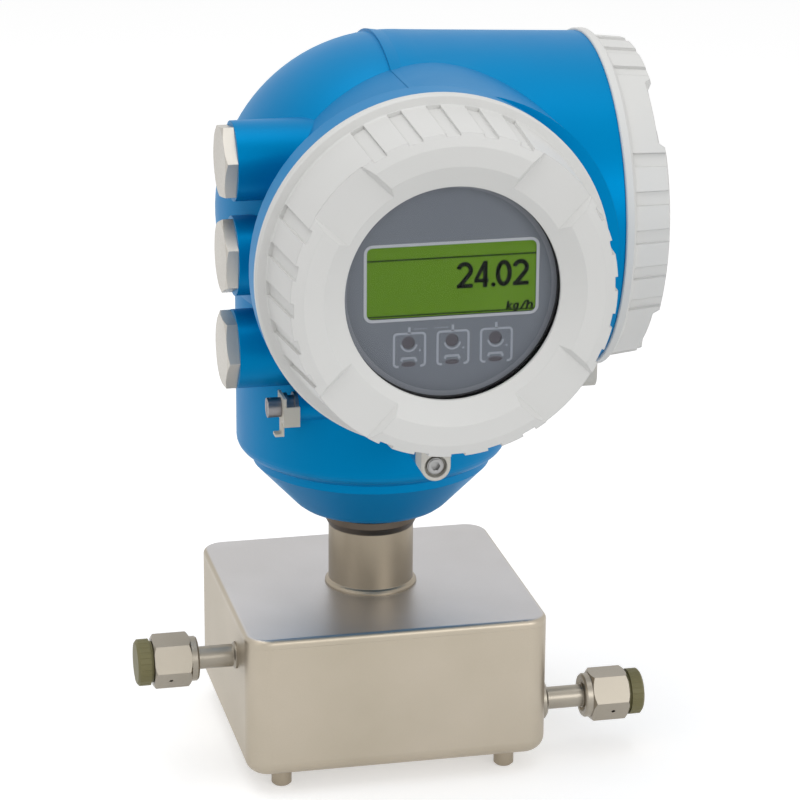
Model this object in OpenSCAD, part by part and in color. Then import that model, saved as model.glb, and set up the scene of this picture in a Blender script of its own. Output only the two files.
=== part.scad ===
// Coriolis mass flow meter with a compact two-chamber transmitter.
//
// A small stainless sensor box stands on four studs. The medium enters by the
// tube on the left, runs through one bent measuring tube and leaves, lower
// down, on the right. A neck carries the cast transmitter housing: a display
// chamber that looks to the front and a connection chamber that opens to the
// right, each closed by a ribbed screw cover. Three cable entries on the left
// side are closed by hexagon plugs.
//
// Axes: X along the pipe run, -Y to the display side, Z up.
// The origin lies under the neck axis, on the plane the four studs stand on.

/* [Sensor box] */
// Length of the box along the pipe run
box_length = 138.8; // [132:0.1:170]
// Depth of the box, front to back
box_depth = 129; // [114:0.5:160]
// Height of the box without the studs
box_height = 66.6; // [50:0.1:90]
// Radius of the vertical corners
box_corner = 10.5; // [8:0.5:16]
// Radius of the bottom edge
box_edge = 7; // [5.5:0.5:7.5]
// Radius of the top edge, on the lid
lid_edge = 2.4; // [1:0.1:3.5]
// Thickness of the lid
lid_thickness = 4; // [3:0.5:6]
// Thickness of the tub wall
tub_wall = 3; // [2:0.5:5]

/* [Mounting studs] */
// Height of the studs under the box
stud_height = 9; // [5:0.5:20]
// Diameter of a stud
stud_diameter = 9.2; // [8:0.1:12]
// Distance between the studs along the pipe run
stud_spacing_x = 104; // [80:1:120]
// Distance between the studs, front to back
stud_spacing_y = 100; // [70:1:110]
// Diameter of the blind thread core in a stud
stud_bore = 5; // [3:0.5:6]

/* [Neck] */
// Outer diameter of the neck tube
neck_diameter = 39.1; // [32:0.1:46]
// Wall of the neck tube
neck_wall = 2.55; // [2:0.05:4]
// Height of the neck between the lid and the housing
neck_height = 35.4; // [25:0.1:80]
// Diameter of the shoulder the housing turns on
neck_shoulder_diameter = 42.6; // [40:0.1:50]

/* [Process connections] */
// Outer diameter of the connection tubes
tube_diameter = 10.3; // [8:0.1:12]
// Distance of the inlet in front of the neck axis
inlet_front = 32; // [26:0.5:40]
// Distance of the outlet in front of the neck axis
outlet_front = 46; // [38:0.5:48]
// Height of the inlet axis over the bottom of the box
inlet_height = 48; // [44:0.1:56]
// Height of the outlet axis over the bottom of the box
outlet_height = 19.8; // [17:0.1:24]
// Reach of the inlet nut beyond the box
inlet_reach = 38.3; // [30:0.1:80]
// Reach of the outlet nut beyond the box
outlet_reach = 40.6; // [30:0.1:80]
// Width across the flats of a union nut
nut_flats = 21.5; // [19:0.5:27]
// Length of a union nut
nut_length = 20.4; // [16:0.1:28]
// Length of the exposed part of a dust cap
cap_length = 7.4; // [5:0.1:12]

/* [Measuring tube] */
// Outer diameter of the bent measuring tube
meter_tube_diameter = 4.9; // [3:0.1:6]
// Wall of the measuring tube
meter_tube_wall = 0.6; // [0.3:0.1:1]
// Distance between the outlet run and the back run
loop_width = 78; // [60:1:80]

/* [Transmitter housing] */
// Radius of the round elbow of the housing
dome_radius = 79; // [74:0.5:84]
// Height of the chamber axes over the bottom of the box
chamber_height = 245.3; // [235:0.1:270]
// Shift of the elbow to the right of the neck axis
dome_shift = 9; // [0:0.5:14]
// Distance of the display cover seat in front of the neck axis
display_seat = 104.4; // [98:0.1:112]
// Distance of the connection cover seat to the right of the neck axis
connection_seat = 96; // [90:0.5:104]
// Wall of the housing
housing_wall = 5; // [4:0.5:7]
// Radius of the round foot under the chambers
foot_radius = 61.6; // [56:0.1:66]

/* [Screw covers] */
// Diameter of the cover flanges
cover_diameter = 152.4; // [144:0.2:160]
// Height of the display cover over its seat
display_cover_height = 42.6; // [36:0.1:50]
// Height of the connection cover over its seat
connection_cover_height = 22.6; // [20:0.1:30]
// Diameter of the cover threads
cover_thread = 135.4; // [130:0.2:140]
// Depth of the cover threads
cover_thread_depth = 12; // [8:0.5:14]
// Grip grooves in each of the four groups
grip_grooves = 5; // [3:1:6]
// Depth of a grip groove
grip_depth = 1.3; // [0.8:0.1:2]
// Depth of the lugs under the front of the display cover
display_lug_drop = 3; // [1:0.1:4]
// Depth of the lugs under the front of the connection cover
connection_lug_drop = 4.8; // [1:0.1:6]
// Diameter of the window opening
window_diameter = 90.8; // [70:0.2:96]
// Shift of the display axis to the right of the neck axis
display_shift = 3.3; // [0:0.1:6]

/* [Display] */
// Width of the visible liquid crystal field
lcd_width = 72.6; // [50:0.1:76]
// Height of the visible liquid crystal field
lcd_height = 31.6; // [20:0.1:40]
// Distance between the optical keys
key_spacing = 18.4; // [14:0.1:22]

/* [Cable entries] */
// Distance between the cable entries
entry_spacing = 42.2; // [38:0.1:48]
// Distance of the entries in front of the neck axis
entry_front = 38; // [34:0.5:40]
// Diameter of a cable entry boss
entry_boss = 34.8; // [30:0.2:38]
// Width across the flats of a blanking plug
plug_flats = 30; // [24:0.5:32]
// Diameter of the entry threads
entry_thread = 20; // [16:0.5:22]

/* [View] */

/* [Hidden] */

eps = 0.01;
run_fit = 0.1;      // radial clearance of turning and threaded pairs
air = 0.3;          // clearance between loose neighbours

// sensor box
box_z = stud_height;
box_top = box_z + box_height;
lid_z = box_top - lid_thickness;
half_l = box_length / 2;
half_d = box_depth / 2;

// neck
neck_r = neck_diameter / 2;
neck_bore = neck_r - neck_wall;
shoulder_r = neck_shoulder_diameter / 2;
neck_top = box_top + neck_height;
shoulder_z = neck_top - 6.5;
duct_r = neck_bore - 4;

// process connections
tube_r = tube_diameter / 2;
inlet_y = -inlet_front;
outlet_y = -outlet_front;
inlet_z = box_z + inlet_height;
outlet_z = box_z + outlet_height;
nut_collar = 3.4;                    // round collar of the nut
nut_r = nut_flats / sqrt(3);         // corner radius of the hexagon
nut_bore = nut_flats / 2 - 2.6;      // thread of the nut
gland_back = nut_collar + 1;         // from the nut's inner end to the gland head
gland_head = 4;
inlet_x = -half_l - inlet_reach;     // outer face of the inlet nut
outlet_x = half_l + outlet_reach;

// measuring tube
meter_r = meter_tube_diameter / 2;
back_y = outlet_y + loop_width;
bend_x = 14;
upper_r = (back_y - inlet_y) / 2;    // upper loop, to the right
lower_r = (back_y - outlet_y) / 2;   // lower loop, to the left
upper_mid_y = (inlet_y + back_y) / 2;
lower_mid_y = (outlet_y + back_y) / 2;
step_r = (inlet_z - outlet_z) / 2;
step_x = bend_x - step_r;
step_z = outlet_z + step_r;
low_bend_x = bend_x - 2 * step_r;
apex_x = bend_x + upper_r;
low_apex_x = low_bend_x - lower_r;
floor_z = box_z + tub_wall;

// transmitter housing
axis_z = box_z + chamber_height;
cover_r = cover_diameter / 2;
thread_r = cover_thread / 2;
mouth_r = thread_r + run_fit;
mouth_depth = cover_thread_depth + 2;
barrel_end_r = cover_r - 1.1;
throat_shift = dome_shift + 7;       // display throat, seen from the front
throat_r = dome_radius - 7;
web_y = -52;                         // wall between the chambers
web = 6;
chamber_r = throat_r - 2 * housing_wall;
funnel_r = 35.5;
ledge_r = foot_radius - 7.3;
ledge_z = neck_top + 27;

// cable entries
entry_y = -entry_front;
entry_x = -70;
entry_top_z = axis_z + 34.2;
entry_r = entry_thread / 2;
plug_r = plug_flats / sqrt(3);
plug_head = 5.4;
entry_seal = 1.2;

// cover clamps
clamp_r = 6.4;
clamp_offset = cover_r + 7.8;        // clamp screw from the cover axis
clamp_thickness = 11;
screw_r = 2;
screw_head_r = 3.6;
screw_head = 3;
screw_recess = 3.4;                  // counterbore of the claw

// ground terminal, a boss on the foot that points to the left
ground_x = -44.4;
ground_y = -50;
ground_z = axis_z - 74.3;
ground_stack = 6;                    // washers under the clamp

// display
glass = 4;
lip = 1.5;
gasket = 0.8;
window_r = window_diameter / 2;
window_y = -display_seat - display_cover_height + 6;
lcd_right = 1.2;                     // field from the display axis
lcd_up = 4.7;
lcd_reach = sqrt(pow(lcd_width / 2 + lcd_right, 2) + pow(lcd_height / 2 + lcd_up, 2));
bezel_r = max(window_r + 0.9, lcd_reach + 1.5);
glass_r = bezel_r + 3.5;
bezel_y = window_y + lip + gasket + glass + 0.4;
bezel = 3;
lcd_x = display_shift + lcd_right;
lcd_z = axis_z + lcd_up;
key_z = lcd_z - 26.2;

steel = [0.72, 0.69, 0.62];
bright = [0.80, 0.79, 0.76];
blue = [0.0, 0.42, 0.70];
cover_grey = [0.84, 0.84, 0.82];
dark = [0.16, 0.16, 0.17];
olive = [0.42, 0.41, 0.26];
copper = [0.70, 0.40, 0.20];
seal_black = [0.08, 0.08, 0.08];
disc_grey = [0.38, 0.40, 0.43];
lcd_green = [0.33, 0.48, 0.15];

// ---------------------------------------------------------------- helpers

// Cylinder along +X from x0 to x1
module along_x(x0, x1, r, r2 = -1, fn = 64)
    translate([x0, 0, 0]) rotate([0, 90, 0])
        cylinder(h = x1 - x0, r1 = r, r2 = r2 < 0 ? r : r2, $fn = fn);

// Cylinder along +Y from y0 to y1
module along_y(y0, y1, r, r2 = -1, fn = 64)
    translate([0, y0, 0]) rotate([-90, 0, 0])
        cylinder(h = y1 - y0, r1 = r, r2 = r2 < 0 ? r : r2, $fn = fn);

module ring(r0, r1, h, fn = 96)
    difference() {
        cylinder(h = h, r = r1, $fn = fn);
        translate([0, 0, -1]) cylinder(h = h + 2, r = r0, $fn = fn);
    }

// Rectangle with round corners, w by d
module round_plate(w, d, r) {
    square([w - 2 * r, d], center = true);
    square([w, d - 2 * r], center = true);
    for (x = [-1, 1], y = [-1, 1])
        translate([x * (w / 2 - r), y * (d / 2 - r)]) circle(r = r, $fn = 48);
}

// Deep-drawn tub: vertical corners of radius r, bottom edge of radius e
module tub_form(w, d, z0, z1, r, e) {
    translate([0, 0, z0 + e]) linear_extrude(z1 - z0 - e) round_plate(w, d, r);
    translate([0, 0, z0]) linear_extrude(e + 1) round_plate(w - 2 * e, d - 2 * e, r - e);
    for (y = [-1, 1]) translate([0, y * (d / 2 - e), z0 + e])
        along_x(r - w / 2, w / 2 - r, e, fn = 48);
    for (x = [-1, 1]) translate([x * (w / 2 - e), 0, z0 + e])
        along_y(r - d / 2, d / 2 - r, e, fn = 48);
    for (x = [-1, 1], y = [-1, 1])
        translate([x * (w / 2 - r), y * (d / 2 - r), z0 + e])
            rotate_extrude($fn = 48) intersection() {
                translate([r - e, 0]) circle(r = e, $fn = 48);
                translate([0, -e - 1]) square([r + 1, e + 1]);
            }
}

// Places children on the axis of the inlet or outlet, +X pointing away from the box,
// x = 0 at the outer face of the nut
module at_inlet() translate([inlet_x, inlet_y, inlet_z]) mirror([1, 0, 0]) children();
module at_outlet() translate([outlet_x, outlet_y, outlet_z]) children();

// Places children on a chamber axis, z = 0 on the cover seat, +Z out of the chamber
module at_display_seat()
    translate([display_shift, -display_seat, axis_z]) rotate([90, 0, 0]) children();
module at_connection_seat()
    translate([connection_seat, 0, axis_z]) rotate([0, 90, 0]) children();

// Places children on cable entry k, +X pointing into the housing
module at_entry(k) translate([entry_x, entry_y, entry_top_z - k * entry_spacing]) children();

// Places children on the ground terminal, +Z out of the housing, +X to the front
module at_ground()
    translate([ground_x, ground_y, ground_z]) rotate([0, -90, 0]) rotate([0, 0, -90]) children();

// Places children on a cover clamp screw, z = 0 on the face of the clamp boss
module at_display_clamp()
    at_display_seat() translate([0, -clamp_offset, -2]) children();
module at_connection_clamp()
    at_connection_seat() rotate([0, 0, 90]) translate([0, -clamp_offset, -2]) children();

// ------------------------------------------------------------- sensor box

module sensor_tub() color(steel) difference() {
    tub_form(box_length, box_depth, box_z, lid_z, box_corner, box_edge);
    tub_form(box_length - 2 * tub_wall, box_depth - 2 * tub_wall, floor_z, lid_z + 5,
             box_corner - tub_wall, box_edge - tub_wall);
    translate([-half_l - 1, inlet_y, inlet_z]) along_x(0, tub_wall + 2, tube_r + run_fit);
    translate([half_l - tub_wall - 1, outlet_y, outlet_z]) along_x(0, tub_wall + 2, tube_r + run_fit);
}

module sensor_lid() color(steel) {
    e = lid_edge;
    r = box_corner;
    difference() {
        union() {
            translate([0, 0, lid_z]) linear_extrude(lid_thickness - e)
                round_plate(box_length, box_depth, r);
            translate([0, 0, lid_z + 1]) linear_extrude(lid_thickness - 1)
                round_plate(box_length - 2 * e, box_depth - 2 * e, r - e);
            for (y = [-1, 1]) translate([0, y * (half_d - e), box_top - e])
                along_x(r - half_l, half_l - r, e, fn = 32);
            for (x = [-1, 1]) translate([x * (half_l - e), 0, box_top - e])
                along_y(r - half_d, half_d - r, e, fn = 32);
            for (x = [-1, 1], y = [-1, 1])
                translate([x * (half_l - r), y * (half_d - r), box_top - e])
                    rotate_extrude($fn = 48) translate([r - e, 0]) intersection() {
                        circle(r = e, $fn = 32);
                        translate([-e, 0]) square([2 * e, e]);
                    }
        }
        translate([0, 0, lid_z - 1]) cylinder(h = lid_thickness + 2, r = duct_r, $fn = 64);
        translate([-half_l - 1, -half_d - 1, lid_z - 6]) cube([box_length + 2, box_depth + 2, 6]);
    }
}

module mounting_studs() color(steel)
    for (x = [-1, 1], y = [-1, 1])
        translate([x * stud_spacing_x / 2, y * stud_spacing_y / 2, 0])
            difference() {
                rotate_extrude($fn = 48) polygon([
                    [0, 0], [stud_diameter / 2 - 1, 0], [stud_diameter / 2, 1],
                    [stud_diameter / 2, box_z], [0, box_z]]);
                translate([0, 0, -1]) cylinder(h = stud_height - 1, r = stud_bore / 2, $fn = 32);
            }

module neck_tube() color(steel) difference() {
    rotate_extrude($fn = 96) polygon([
        [neck_bore, box_top], [neck_r + 1.7, box_top], [neck_r + 1.6, box_top + 1],
        [neck_r + 0.9, box_top + 1.9], [neck_r, box_top + 2.6], [neck_r, shoulder_z],
        [shoulder_r, shoulder_z + 3.4], [shoulder_r, neck_top], [neck_bore, neck_top]]);
}

// Sealed lead-through that closes the sensor against the transmitter
module neck_feedthrough() color(bright) {
    translate([0, 0, box_top]) cylinder(h = 6, r = neck_bore - 0.05, $fn = 64);
    for (a = [0:60:300]) rotate([0, 0, a]) translate([8, 0, box_top + 5])
        cylinder(h = 7, r = 0.8, $fn = 16);
}

// ---------------------------------------------------- process connections

// Tube with weld collar on the box and gland head in the nut; reach from the box
// to the outer face of the nut, collar as [radius, length]
module connection_tube(reach, collar) color(bright) {
    head = nut_length - gland_back;      // outer face of nut to gland shoulder
    difference() {
        union() {
            along_x(-reach - tub_wall - 2, -head, tube_r);
            along_x(-head - 4.6, -head - 3.4, tube_r + 0.5);
            along_x(-head - 3.4, -head, tube_r + 0.8);
            along_x(-head, -head + gland_head, nut_bore - air);
            along_x(-reach, -reach + collar[1] - 1, collar[0]);
            along_x(-reach + collar[1] - 1, -reach + collar[1], collar[0], collar[0] - 1.2);
        }
        along_x(-reach - 12, 1, meter_r + run_fit, fn = 48);
        // face groove of the gland seal
        translate([-head + gland_head - 1.2, 0, 0]) rotate([0, 90, 0]) ring(5.2, 7, 3, 64);
    }
}

// Round seal in the face groove of the gland
module gland_seal() color(seal_black)
    translate([-nut_length + gland_back + gland_head - 1.15, 0, 0]) rotate([0, 90, 0])
        ring(5.25, 6.95, 1.35, 64);

// Union nut: round collar, hexagon with chamfered ends and a leak test hole
module union_nut(turn) color(bright) difference() {
    union() {
        along_x(-nut_length, -nut_length + 0.8, nut_flats / 2 - 1.3, nut_flats / 2 - 0.6);
        along_x(-nut_length + 0.8, -nut_length + nut_collar + 0.5, nut_flats / 2 - 0.6);
        intersection() {
            translate([-nut_length + nut_collar, 0, 0]) rotate([turn, 0, 0]) rotate([0, 90, 0])
                cylinder(h = nut_length - nut_collar, r = nut_r, $fn = 6);
            union() {
                along_x(-nut_length + nut_collar, -nut_length + nut_collar + 1.3,
                        nut_r - 1.7, nut_r + 0.2);
                along_x(-nut_length + nut_collar + 1.3, -1.1, nut_r + 0.2);
                along_x(-1.1, 0, nut_r + 0.2, nut_r - 1.4);
            }
        }
    }
    along_x(-nut_length - 1, 1, tube_r + 0.8 + air);
    along_x(-nut_length + gland_back, 1, nut_bore);
    along_x(-nut_length - eps, -nut_length + 1.6, nut_bore - 0.6, tube_r + 1.1);
    rotate([turn + 60, 0, 0]) translate([-7.4, -nut_flats / 2 - 1, 0])
        rotate([-90, 0, 0]) cylinder(h = 4, r = 0.9, $fn = 24);
}

// Push-in plastic cap that keeps the nut clean
module dust_cap() color(olive) difference() {
    union() {
        along_x(-6, 0.2, nut_bore - air);
        along_x(0.2, 1.4, nut_flats / 2 - 1.5);
        along_x(1.4, cap_length - 1, nut_flats / 2 - 0.2);
        along_x(cap_length - 1, cap_length, nut_flats / 2 - 0.2, nut_flats / 2 - 1.4);
    }
    along_x(-7, cap_length - 2.5, nut_bore - 2.4);
    for (a = [0:15:345]) rotate([a, 0, 0])
        translate([1, nut_flats / 2 + 0.15, 0]) along_x(0, cap_length, 0.55, fn = 16);
}

module inlet_tube() at_inlet() connection_tube(inlet_reach, [6.2, 1.8]);
module inlet_nut() at_inlet() union_nut(-22);
module inlet_seal() at_inlet() gland_seal();
module inlet_cap() at_inlet() dust_cap();
module outlet_tube() at_outlet() connection_tube(outlet_reach, [9.2, 2.6]);
module outlet_nut() at_outlet() union_nut(-30);
module outlet_seal() at_outlet() gland_seal();
module outlet_cap() at_outlet() dust_cap();

// --------------------------------------------------------- measuring tube

// Quarter turn of tube in the XY plane, from +X to +Y round the origin
module quarter(r, section)
    rotate_extrude(angle = 90, $fn = 96) translate([r, 0]) circle(r = section, $fn = 32);

module tube_path(section) {
    translate([0, inlet_y, inlet_z]) along_x(-half_l - 6, bend_x, section, fn = 32);
    translate([bend_x, upper_mid_y, inlet_z])
        for (a = [-90, 0]) rotate([0, 0, a]) quarter(upper_r, section);
    translate([bend_x, back_y, inlet_z - step_r]) rotate([90, 0, 0]) rotate([0, 0, 90])
        quarter(step_r, section);
    translate([low_bend_x, back_y, outlet_z + step_r]) rotate([90, 0, 0]) rotate([0, 0, -90])
        quarter(step_r, section);
    translate([low_bend_x, lower_mid_y, outlet_z])
        for (a = [90, 180]) rotate([0, 0, a]) quarter(lower_r, section);
    translate([0, outlet_y, outlet_z]) along_x(low_bend_x, half_l + 6, section, fn = 32);
}

// One tube: an upper loop to the right, a step down at the back, a lower loop to the left
module measuring_tube() color(bright) difference() {
    tube_path(meter_r);
    tube_path(meter_r - meter_tube_wall);
}

// Rigid bar that ties the two tube ends together
module tube_carrier() color(steel) {
    x = half_l - box_corner - 1.5;
    post = 5;
    w = 6;                               // half width of a post
    difference() {
        union() {
            translate([-x, outlet_y - w, floor_z]) cube([2 * x, inlet_y - outlet_y + 2 * w, 7]);
            translate([-x, inlet_y - w, floor_z]) cube([post, 2 * w, inlet_z + w - floor_z]);
            translate([x - post, outlet_y - w, floor_z])
                cube([post, 2 * w, outlet_z + w - floor_z]);
        }
        translate([0, inlet_y, inlet_z]) along_x(-x - 1, -x + 20, meter_r + 0.02, fn = 32);
        translate([0, outlet_y, outlet_z]) along_x(x - 20, x + 1, meter_r + 0.02, fn = 32);
    }
}

// Folded bracket for the three coils
module coil_bracket() color(steel) {
    x0 = low_apex_x + 14;
    x1 = apex_x - 16;
    y1 = upper_mid_y + 7;
    translate([x0, lower_mid_y - 7, floor_z]) cube([x1 + 2 - x0, y1 + 7 - lower_mid_y, 2]);
    translate([step_x - 7, lower_mid_y, floor_z]) cube([14, back_y + 16 - lower_mid_y, 2]);
    translate([step_x - 7, back_y + 14, floor_z]) cube([14, 2, step_z + 6 - floor_z]);
    translate([x0, lower_mid_y - 7, floor_z]) cube([2, 14, outlet_z + 6 - floor_z]);
    translate([x1, upper_mid_y - 7, floor_z]) cube([2, 14, inlet_z + 6 - floor_z]);
}

module coil(h) difference() {
    cylinder(h = h, r = 5, $fn = 48);
    translate([0, 0, -1]) ring(3.4, 4.4, h - 1, 48);
}

module drive_coil() color(copper)
    translate([step_x, back_y + 14, step_z]) rotate([90, 0, 0]) coil(5);

module pickoff_coils() color(copper) {
    translate([low_apex_x + 14, lower_mid_y, outlet_z]) rotate([0, -90, 0]) coil(5);
    translate([apex_x - 14, upper_mid_y, inlet_z]) rotate([0, 90, 0]) coil(5);
}

module magnet(length) union() {
    cylinder(h = length, r = 3, $fn = 32);
    translate([-3.4, -3.4, 0]) cube([6.8, 6.8, 2.4]);
}

// Magnets clamped to the tube, each facing its coil
module tube_magnets() color(dark) difference() {
    union() {
        translate([step_x, back_y - meter_r - 0.6, step_z]) rotate([-90, 0, 0]) magnet(10.4);
        translate([low_apex_x - meter_r - 0.6, lower_mid_y, outlet_z]) rotate([0, 90, 0])
            magnet(10.4);
        translate([apex_x + meter_r + 0.6, upper_mid_y, inlet_z]) rotate([0, -90, 0])
            magnet(10.4);
    }
    tube_path(meter_r + 0.02);
}

module temperature_sensor() color(dark)
    translate([-34, inlet_y, inlet_z]) difference() {
        union() {
            along_x(-5, 5, meter_r + 1.8, fn = 48);
            translate([-4, -2.5, 0]) cube([8, 5, 6.5]);
        }
        along_x(-6, 6, meter_r + 0.02, fn = 32);
    }

// --------------------------------------------------- transmitter housing

// Outer skin of the casting
module housing_skin() {
    translate([dome_shift, 0, axis_z]) sphere(r = dome_radius, $fn = 96);
    translate([0, 0, axis_z])
        along_x(dome_shift, connection_seat, dome_radius, barrel_end_r, fn = 96);
    // display throat, its dish and its collar
    translate([throat_shift, 0, axis_z]) along_y(-display_seat + 12, 0, throat_r, fn = 96);
    translate([display_shift, 0, axis_z]) {
        along_y(-display_seat, -display_seat + 13, cover_r - 0.4, fn = 96);
        along_y(-display_seat + 13, -display_seat + 24, cover_r - 0.4, cover_r - 11, fn = 96);
    }
    // round foot, ledge and funnel
    rotate_extrude($fn = 96) polygon(concat(
        [[0, axis_z], [0, neck_top + 0.1], [shoulder_r - 0.2, neck_top + 0.1],
         [shoulder_r + 1, neck_top + 1.2]],
        [for (a = [0:15:45]) [funnel_r - 8 + 11.3 * sin(a), neck_top + 14.6 - 11.3 * cos(a)]],
        [[ledge_r, ledge_z - 0.6], [ledge_r + 0.4, ledge_z + 3.2]],
        [for (a = [15:15:90]) [foot_radius - 6 + 6 * sin(a), ledge_z + 10.6 - 6 * cos(a)]],
        [[foot_radius, axis_z]]));
    for (k = [0:2]) at_entry(k) along_x(0, 50, entry_boss / 2, fn = 64);
    at_display_clamp() clamp_boss(48);
    at_connection_clamp() clamp_boss(44);
    at_ground() translate([0, 0, -22]) cylinder(h = 22, r = 6.6, $fn = 48);
    seam_rib();
}

// Boss of a cover clamp with the web that ties it to the chamber wall
module clamp_boss(h) translate([0, 0, -h]) {
    cylinder(h = h, r = clamp_r, $fn = 48);
    translate([-4, 0, 0]) cube([8, clamp_offset - cover_r + 8, h]);
}

// Raised seam where the two halves of the mould met: steep on the left, fading to the right,
// over the elbow and on along the top of the display throat
module seam_rib() {
    rise = 1.2;
    width = 8.2;
    fall = 1.7;                          // drop of the cone that fades into the dome
    drift = 10.6;                        // shift of the second throat round, for the fade
    intersection() {
        translate([0, 0, axis_z])
            along_x(0, width + 3.8, dome_radius + rise - 0.5, dome_radius + rise - 0.5 - fall, fn = 96);
        translate([-1, -40, axis_z - 60]) cube([width + 6, 130, 150]);
    }
    intersection() {
        translate([throat_shift - drift, 0, axis_z - 1.2])
            along_y(-display_seat + 14, -20, throat_r, fn = 96);
        translate([0, -display_seat + 14, axis_z + 40]) cube([width, display_seat - 34, 50]);
    }
}

// Room for the terminals, open to the right
module connection_chamber() {
    intersection() {
        union() {
            translate([dome_shift, 0, axis_z]) sphere(r = dome_radius - housing_wall, $fn = 96);
            translate([0, 0, axis_z])
                along_x(dome_shift, connection_seat, dome_radius - housing_wall, mouth_r, fn = 96);
            translate([0, 0, ledge_z + 8]) cylinder(h = 90, r = foot_radius - 11, $fn = 96);
        }
        translate([-100, web_y, 0]) cube([200, 200, axis_z + 100]);
    }
    at_connection_seat() translate([0, 0, -mouth_depth]) cylinder(h = mouth_depth + 1, r = mouth_r, $fn = 96);
    translate([0, 0, neck_top - 15]) cylinder(h = ledge_z + 24 - neck_top, r = duct_r, $fn = 64);
}

// Room for the electronics, open to the front
module display_chamber() {
    at_display_seat() translate([0, 0, -mouth_depth]) cylinder(h = mouth_depth + 1, r = mouth_r, $fn = 96);
    translate([throat_shift - 6, 0, axis_z]) along_y(-display_seat + 2, web_y - web, chamber_r, fn = 96);
    translate([throat_shift + 18, 0, axis_z]) along_y(web_y - web - 1, web_y + 1, 9, fn = 48);
}

module housing() color(blue) difference() {
    union() {
        housing_skin();
        // spigot that turns in the neck
        translate([0, 0, neck_top - 12]) cylinder(h = 13, r = neck_bore - run_fit, $fn = 64);
    }
    connection_chamber();
    display_chamber();
    for (k = [0:2]) at_entry(k) {
        along_x(-1, 42, entry_r + run_fit, fn = 48);
        along_x(-1, entry_seal + 0.1, entry_r + 3, fn = 48);
    }
    at_display_clamp() translate([0, 0, -12]) cylinder(h = 13, r = screw_r + 0.05, $fn = 32);
    at_connection_clamp() translate([0, 0, -12]) cylinder(h = 13, r = screw_r + 0.05, $fn = 32);
    at_ground() translate([0, 0, -12]) cylinder(h = 13, r = 2.55, $fn = 32);
    // groove of the neck seal
    translate([0, 0, neck_top - 9]) ring(neck_bore - 2.2, neck_bore + 1, 2.4, 64);
    // seats of the cover seals
    at_display_seat() translate([0, 0, -1.8]) ring(mouth_r - 1, mouth_r + 3.2, 3);
    at_connection_seat() translate([0, 0, -1.8]) ring(mouth_r - 1, mouth_r + 3.2, 3);
}

module neck_seal() color(seal_black)
    translate([0, 0, neck_top - 8.9]) ring(neck_bore - 2.15, neck_bore - 0.05, 2.2, 64);

// Potted electronics, fixed to the wall between the chambers
module electronics_module() color(dark)
    translate([throat_shift - 6, 0, axis_z]) {
        along_y(web_y - web - 24, web_y - web, chamber_r - 4, fn = 96);
        for (a = [45:90:315]) rotate([0, a, 0]) translate([chamber_r - 12, 0, 0])
            along_y(web_y - web - 26, web_y - web - 23, 4, fn = 32);
    }

// Carrier plate of the terminals in the connection chamber
module terminal_board() color(dark) {
    x0 = dome_shift + 14;
    intersection() {
        translate([0, 0, axis_z]) along_x(x0, x0 + 8, dome_radius - housing_wall - 4, fn = 96);
        translate([x0 - 1, web_y, axis_z - 46]) cube([20, 150, 92]);
    }
}

module terminal_strip() color(bright) {
    x0 = dome_shift + 22;
    translate([x0, -36, axis_z - 9]) difference() {
        cube([14, 82, 18]);
        for (i = [0:7]) {
            translate([14, 6 + i * 10, 12]) along_x(-4, 1, 2.6, fn = 24);
            translate([4, 3.5 + i * 10, -1]) cube([5, 5, 7]);
        }
    }
}

// -------------------------------------------------------- ground terminal

// Washers between the boss and the clamp
module ground_washer() color(bright) at_ground() {
    ring(2.7, 6.4, 1.6, 48);
    translate([0, 0, 1.6]) ring(2.7, 5, ground_stack - 3.2, 48);
    translate([0, 0, ground_stack - 1.6]) ring(2.7, 6.2, 1.6, 48);
}

// Bent clamp for the wire: a plate under the screw head, a flap in front, a tongue below
module ground_clamp() color(bright) at_ground() difference() {
    union() {
        translate([-6, -6, ground_stack]) cube([14.2, 12, 1.2]);
        translate([7, -7, 0]) cube([1.2, 9, ground_stack + 1.2]);
        translate([-2.5, -13, ground_stack]) cube([5, 8, 1.2]);
        translate([-2.5, -13, ground_stack]) cube([5, 1.2, 4]);
    }
    translate([0, 0, ground_stack - 1]) cylinder(h = 8, r = 2.7, $fn = 32);
}

module ground_screw() color(bright) at_ground() difference() {
    head_z = ground_stack + 1.2;
    union() {
        translate([0, 0, -10]) cylinder(h = 11 + head_z, r = 2.5, $fn = 32);
        translate([0, 0, head_z]) cylinder(h = 6, r = 4.4, $fn = 48);
    }
    translate([-0.6, -6, head_z + 4.6]) cube([1.2, 12, 3]);
}

// ---------------------------------------------------------- cable entries

module blanking_plug(k, turn) color(bright) at_entry(k) difference() {
    union() {
        along_x(-1, 14, entry_r);
        intersection() {
            translate([-plug_head, 0, 0]) rotate([turn, 0, 0]) rotate([0, 90, 0])
                rotate([0, 0, 30]) cylinder(h = plug_head, r = plug_r, $fn = 6);
            union() {
                along_x(-plug_head, -plug_head + 1, plug_flats / 2 + 0.2, plug_r + 0.4);
                along_x(-plug_head + 1, 0, plug_r + 0.4);
            }
        }
    }
    along_x(2, 20, entry_r - 2.2, fn = 48);
}

module entry_seal_ring(k) color(seal_black)
    at_entry(k) rotate([0, 90, 0]) ring(entry_r + run_fit, entry_r + 2.9, entry_seal, 48);

module entry_plug_top() blanking_plug(0, -9);
module entry_plug_middle() blanking_plug(1, -22);
module entry_plug_bottom() blanking_plug(2, 6);
module entry_seal_top() entry_seal_ring(0);
module entry_seal_middle() entry_seal_ring(1);
module entry_seal_bottom() entry_seal_ring(2);

// ----------------------------------------------------------- screw covers

lug_half = 13;                       // half angle of a smooth lug
groove_pitch = 13.3;                 // angle between two grip grooves
cover_turn = 1.5;                    // where the thread comes to its end
shoulder = 5.2;                      // sloped rim round the front of a cover
shoulder_drop = 2;

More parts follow.
